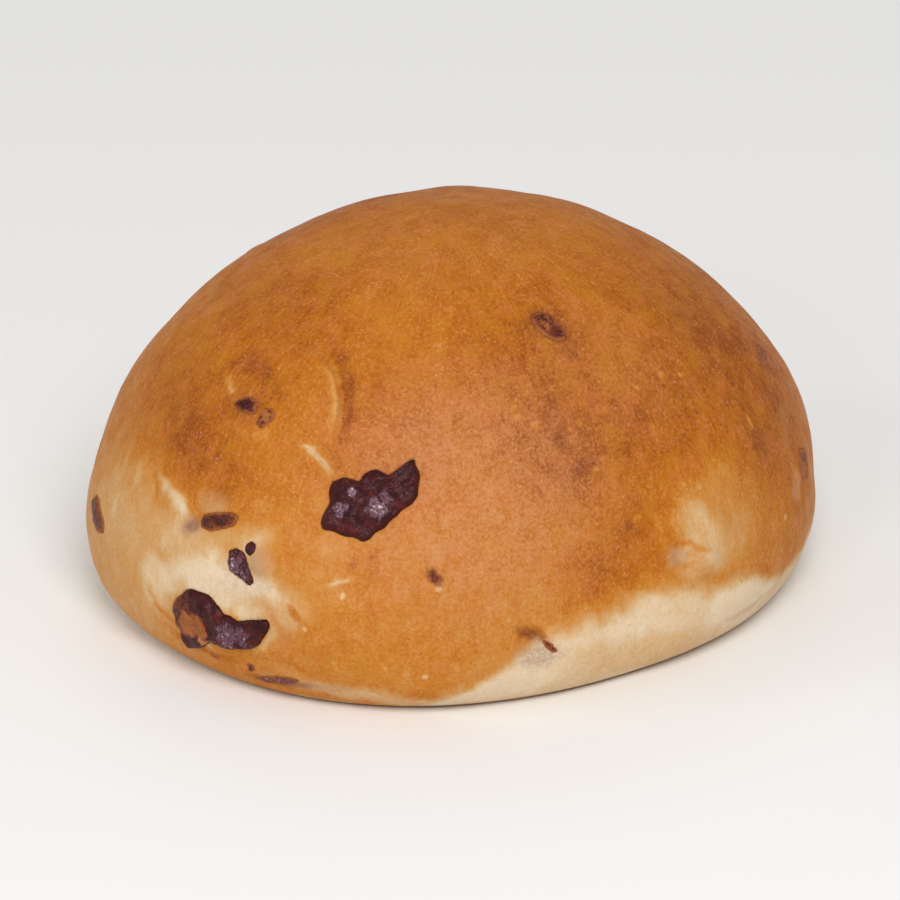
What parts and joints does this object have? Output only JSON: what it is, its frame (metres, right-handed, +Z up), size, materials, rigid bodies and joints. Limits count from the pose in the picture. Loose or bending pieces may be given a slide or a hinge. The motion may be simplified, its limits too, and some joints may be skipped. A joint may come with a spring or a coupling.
{
  "type": "cranberry dinner roll",
  "caption": "Oval bread roll with a high golden-brown domed crust, pale lower flanks, a flat underside and pieces of dried cranberry breaking through the crust.",
  "frame": {"origin": "centre of the flat underside, on the surface that the roll rests on", "axes": "+X along the roll's length, +Y across it, +Z up through the crown"},
  "size_m": [0.0841, 0.0754, 0.0454],
  "materials": {
    "crust": "satin baked crust",
    "cranberry": "glossy wrinkled skin"
  },
  "bodies": {
    "root": {"bun": "crust", "cranberry_left": "cranberry", "cranberry_pucker": "cranberry", "cranberry_slit": "cranberry", "cranberry_corner": "cranberry", "cranberry_frosted": "cranberry", "cranberry_base": "cranberry", "cranberry_front": "cranberry", "cranberry_heel": "cranberry", "cranberry_crown": "cranberry", "cranberry_right": "cranberry", "cranberry_shoulder": "cranberry", "cranberry_back_notched": "cranberry", "cranberry_back_large": "cranberry", "cranberry_back_low": "cranberry", "cranberry_back_slot": "cranberry", "cranberry_back_small": "cranberry"}
  },
  "joints": []
}
